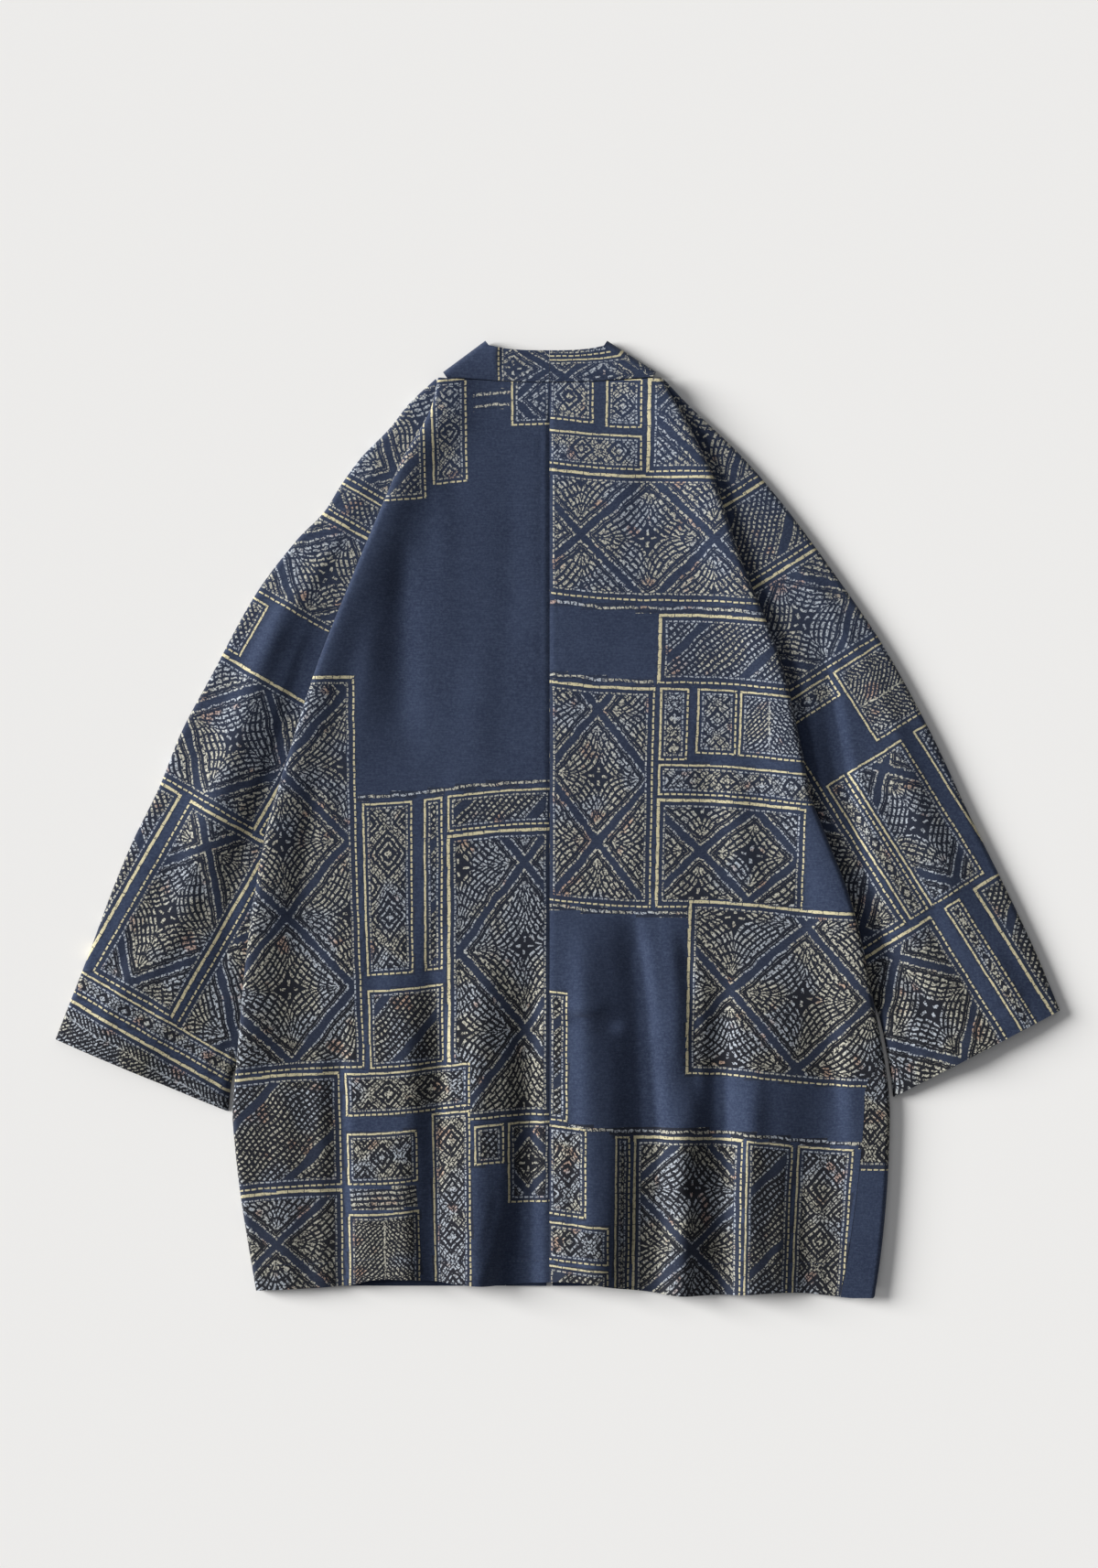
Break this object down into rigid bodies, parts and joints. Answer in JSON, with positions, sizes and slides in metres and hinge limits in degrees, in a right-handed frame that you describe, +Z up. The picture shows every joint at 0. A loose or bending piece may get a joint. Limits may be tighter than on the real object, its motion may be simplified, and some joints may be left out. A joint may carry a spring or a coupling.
{
  "type": "kimono shirt",
  "caption": "Open-front kimono shirt with a band collar and wide raglan sleeves, lying face down on a flat surface with its back showing.",
  "frame": {"origin": "centre of the shirt's outline in plan, on the surface that it lies on", "axes": "+Z up from the surface to the back of the shirt, +Y from the hem to the collar, +X to the wearer's right"},
  "size_m": [0.8331, 0.794, 0.0184],
  "materials": {
    "indigo_print": "plain-woven cotton, indigo with a pale geometric block print",
    "indigo_reverse": "plain-woven cotton, indigo with a pale geometric block print"
  },
  "bodies": {
    "root": {"back_left": "indigo_print", "back_right": "indigo_print", "front_left": "indigo_reverse", "front_right": "indigo_print", "sleeve_left": "indigo_print", "sleeve_right": "indigo_print", "collar_left": "indigo_print", "collar_right": "indigo_print"}
  },
  "joints": []
}
